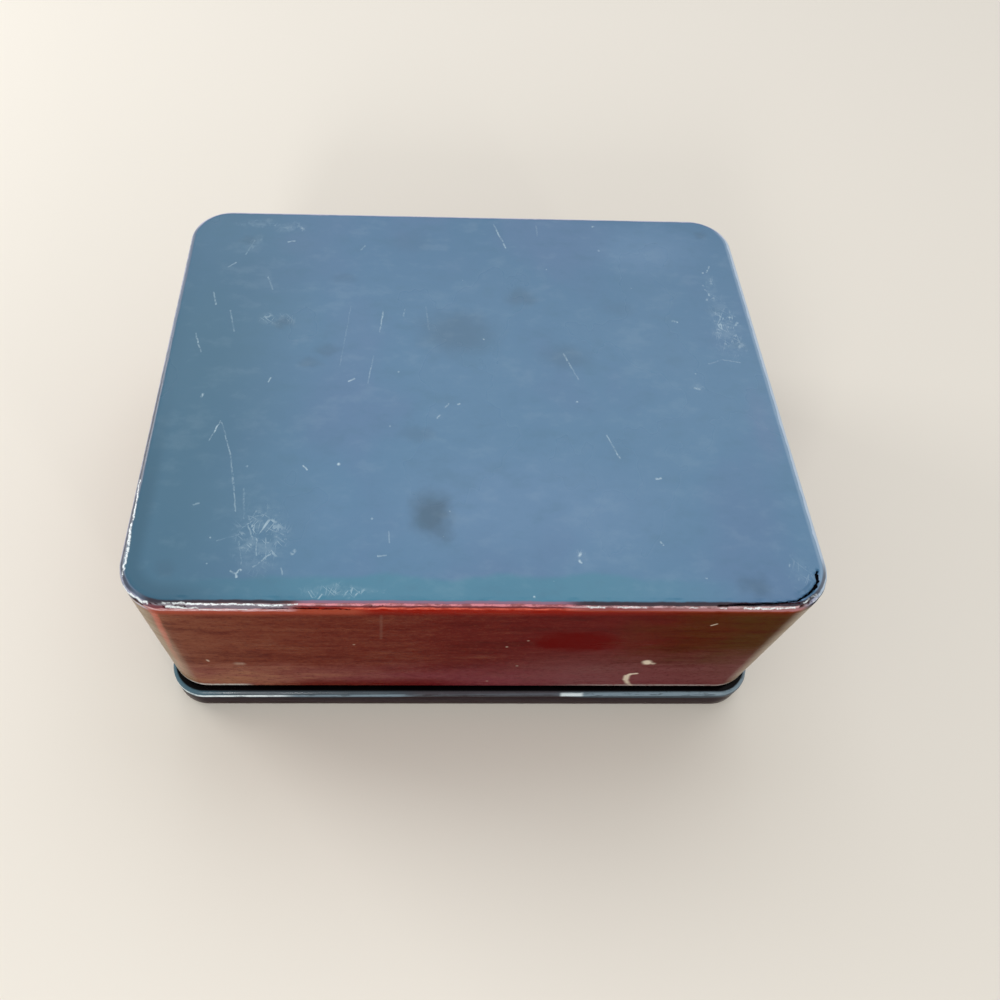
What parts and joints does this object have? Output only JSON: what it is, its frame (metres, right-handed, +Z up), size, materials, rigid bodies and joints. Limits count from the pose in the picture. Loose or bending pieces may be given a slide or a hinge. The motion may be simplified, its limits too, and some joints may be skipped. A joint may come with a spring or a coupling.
{
  "type": "lacquer trinket box",
  "caption": "Rectangular lacquered wooden box with rounded corners and a deep lid that lifts straight off a body standing on a projecting base moulding.",
  "frame": {"origin": "middle of the footprint, on the surface that the box stands on", "axes": "+X along the long side, to the right seen from the front; +Y towards the back; +Z up, the way the lid lifts"},
  "size_m": [0.212, 0.1734, 0.085],
  "materials": {
    "black_lacquer": "gloss black lacquer on wood, hazed and finely scratched",
    "red_lacquer": "gloss brown-red lacquer on wood, worn bright along the edges",
    "base_lacquer": "gloss dark brown-black lacquer on wood",
    "inside_lacquer": "satin black lacquer on wood",
    "bare_cypress": "bare planed cypress",
    "bamboo_peg": "bare bamboo"
  },
  "bodies": {
    "base": {"base_board": "inside_lacquer", "base_peg_01": "bamboo_peg", "base_peg_02": "bamboo_peg", "base_peg_03": "bamboo_peg", "base_peg_04": "bamboo_peg", "base_peg_05": "bamboo_peg", "base_peg_06": "bamboo_peg", "base_peg_07": "bamboo_peg", "base_peg_08": "bamboo_peg", "base_peg_09": "bamboo_peg", "base_peg_10": "bamboo_peg", "base_moulding_front": "base_lacquer", "base_moulding_back": "base_lacquer", "base_moulding_left": "base_lacquer", "base_moulding_right": "base_lacquer", "body_front_board": "inside_lacquer", "body_back_board": "inside_lacquer", "body_left_board": "inside_lacquer", "body_right_board": "inside_lacquer", "body_corner_post_front_left": "inside_lacquer", "body_corner_post_front_right": "inside_lacquer", "body_corner_post_back_left": "inside_lacquer", "body_corner_post_back_right": "inside_lacquer", "body_front_board_spline_left": "bare_cypress", "body_front_board_spline_right": "bare_cypress", "body_back_board_spline_left": "bare_cypress", "body_back_board_spline_right": "bare_cypress", "body_left_board_spline_front": "bare_cypress", "body_left_board_spline_back": "bare_cypress", "body_right_board_spline_front": "bare_cypress", "body_right_board_spline_back": "bare_cypress"},
    "lid": {"lid_top_board": "black_lacquer", "lid_front_board": "red_lacquer", "lid_back_board": "red_lacquer", "lid_left_board": "red_lacquer", "lid_right_board": "red_lacquer", "lid_corner_post_front_left": "red_lacquer", "lid_corner_post_front_right": "red_lacquer", "lid_corner_post_back_left": "red_lacquer", "lid_corner_post_back_right": "red_lacquer", "lid_front_board_spline_left": "bare_cypress", "lid_front_board_spline_right": "bare_cypress", "lid_back_board_spline_left": "bare_cypress", "lid_back_board_spline_right": "bare_cypress", "lid_left_board_spline_front": "bare_cypress", "lid_left_board_spline_back": "bare_cypress", "lid_right_board_spline_front": "bare_cypress", "lid_right_board_spline_back": "bare_cypress"}
  },
  "joints": [
    {"name": "lid_lift", "type": "slide", "parent": "base", "child": "lid", "axis": [0, 0, 1], "range_m": [0, 0.1]}
  ]
}
